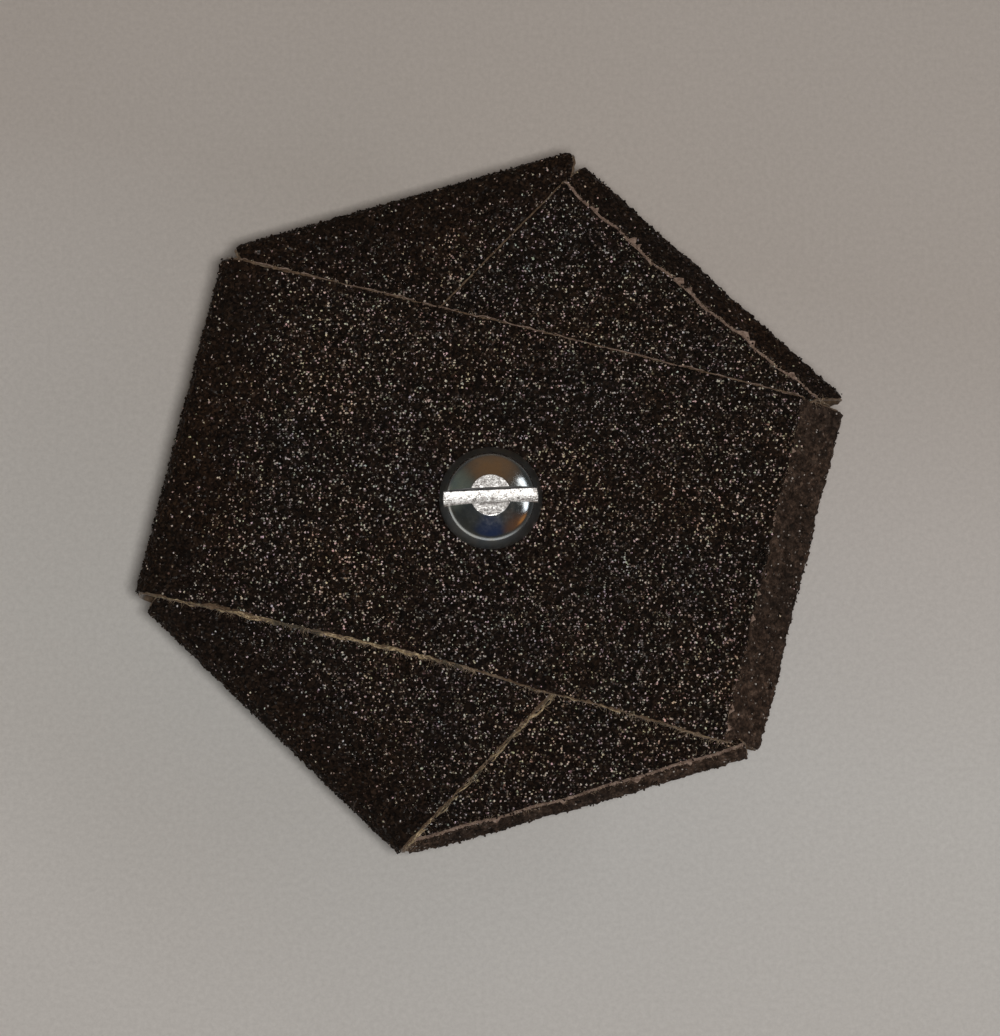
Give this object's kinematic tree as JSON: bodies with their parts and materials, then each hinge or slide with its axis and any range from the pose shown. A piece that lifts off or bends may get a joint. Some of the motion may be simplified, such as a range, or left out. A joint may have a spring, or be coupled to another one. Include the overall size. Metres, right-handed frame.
{
  "type": "hexagonal abrasive pad with wing nut clamp",
  "caption": "Six-sided sanding pad: coarse abrasive-cloth straps folded over a backing core, clamped by a slotted mushroom-head screw and a wing nut behind.",
  "frame": {"origin": "centre of the screw's free end, behind the pad", "axes": "+Z along the screw axis towards its head and the abrasive front face; +X to the right and +Y up as the front face is looked at"},
  "size_m": [0.1024, 0.1028, 0.0355],
  "materials": {
    "zinc_screw": "satin",
    "abrasive_cloth": "matte",
    "plywood": "matte",
    "zinc_washer": "satin",
    "spring_steel": "satin",
    "zinc_nut": "satin"
  },
  "bodies": {
    "pad": {"backing_core": "plywood", "strap_inner": "abrasive_cloth", "strap_middle": "abrasive_cloth", "strap_outer": "abrasive_cloth"},
    "screw": {"clamp_screw": "zinc_screw"},
    "washers": {"fender_washer": "zinc_washer", "lock_washer": "spring_steel"},
    "nut": {"wing_nut": "zinc_nut"}
  },
  "joints": [
    {"name": "screw_spin", "type": "hinge", "parent": "pad", "child": "screw", "pos_m": [0, 0, 0.0268], "axis": [0, 0, 1], "continuous": true},
    {"name": "clamp_travel", "type": "slide", "parent": "screw", "child": "washers", "axis": [0, 0, -1], "range_m": [0, 0.01144]},
    {"name": "nut_spin", "type": "hinge", "parent": "washers", "child": "nut", "pos_m": [0, 0, 0.0126], "axis": [0, 0, -1], "range_deg": [0, 3240]}
  ],
  "couplings": [
    {"joint": "clamp_travel", "follows": "nut_spin", "m_per_rad": 0.00020213}
  ]
}
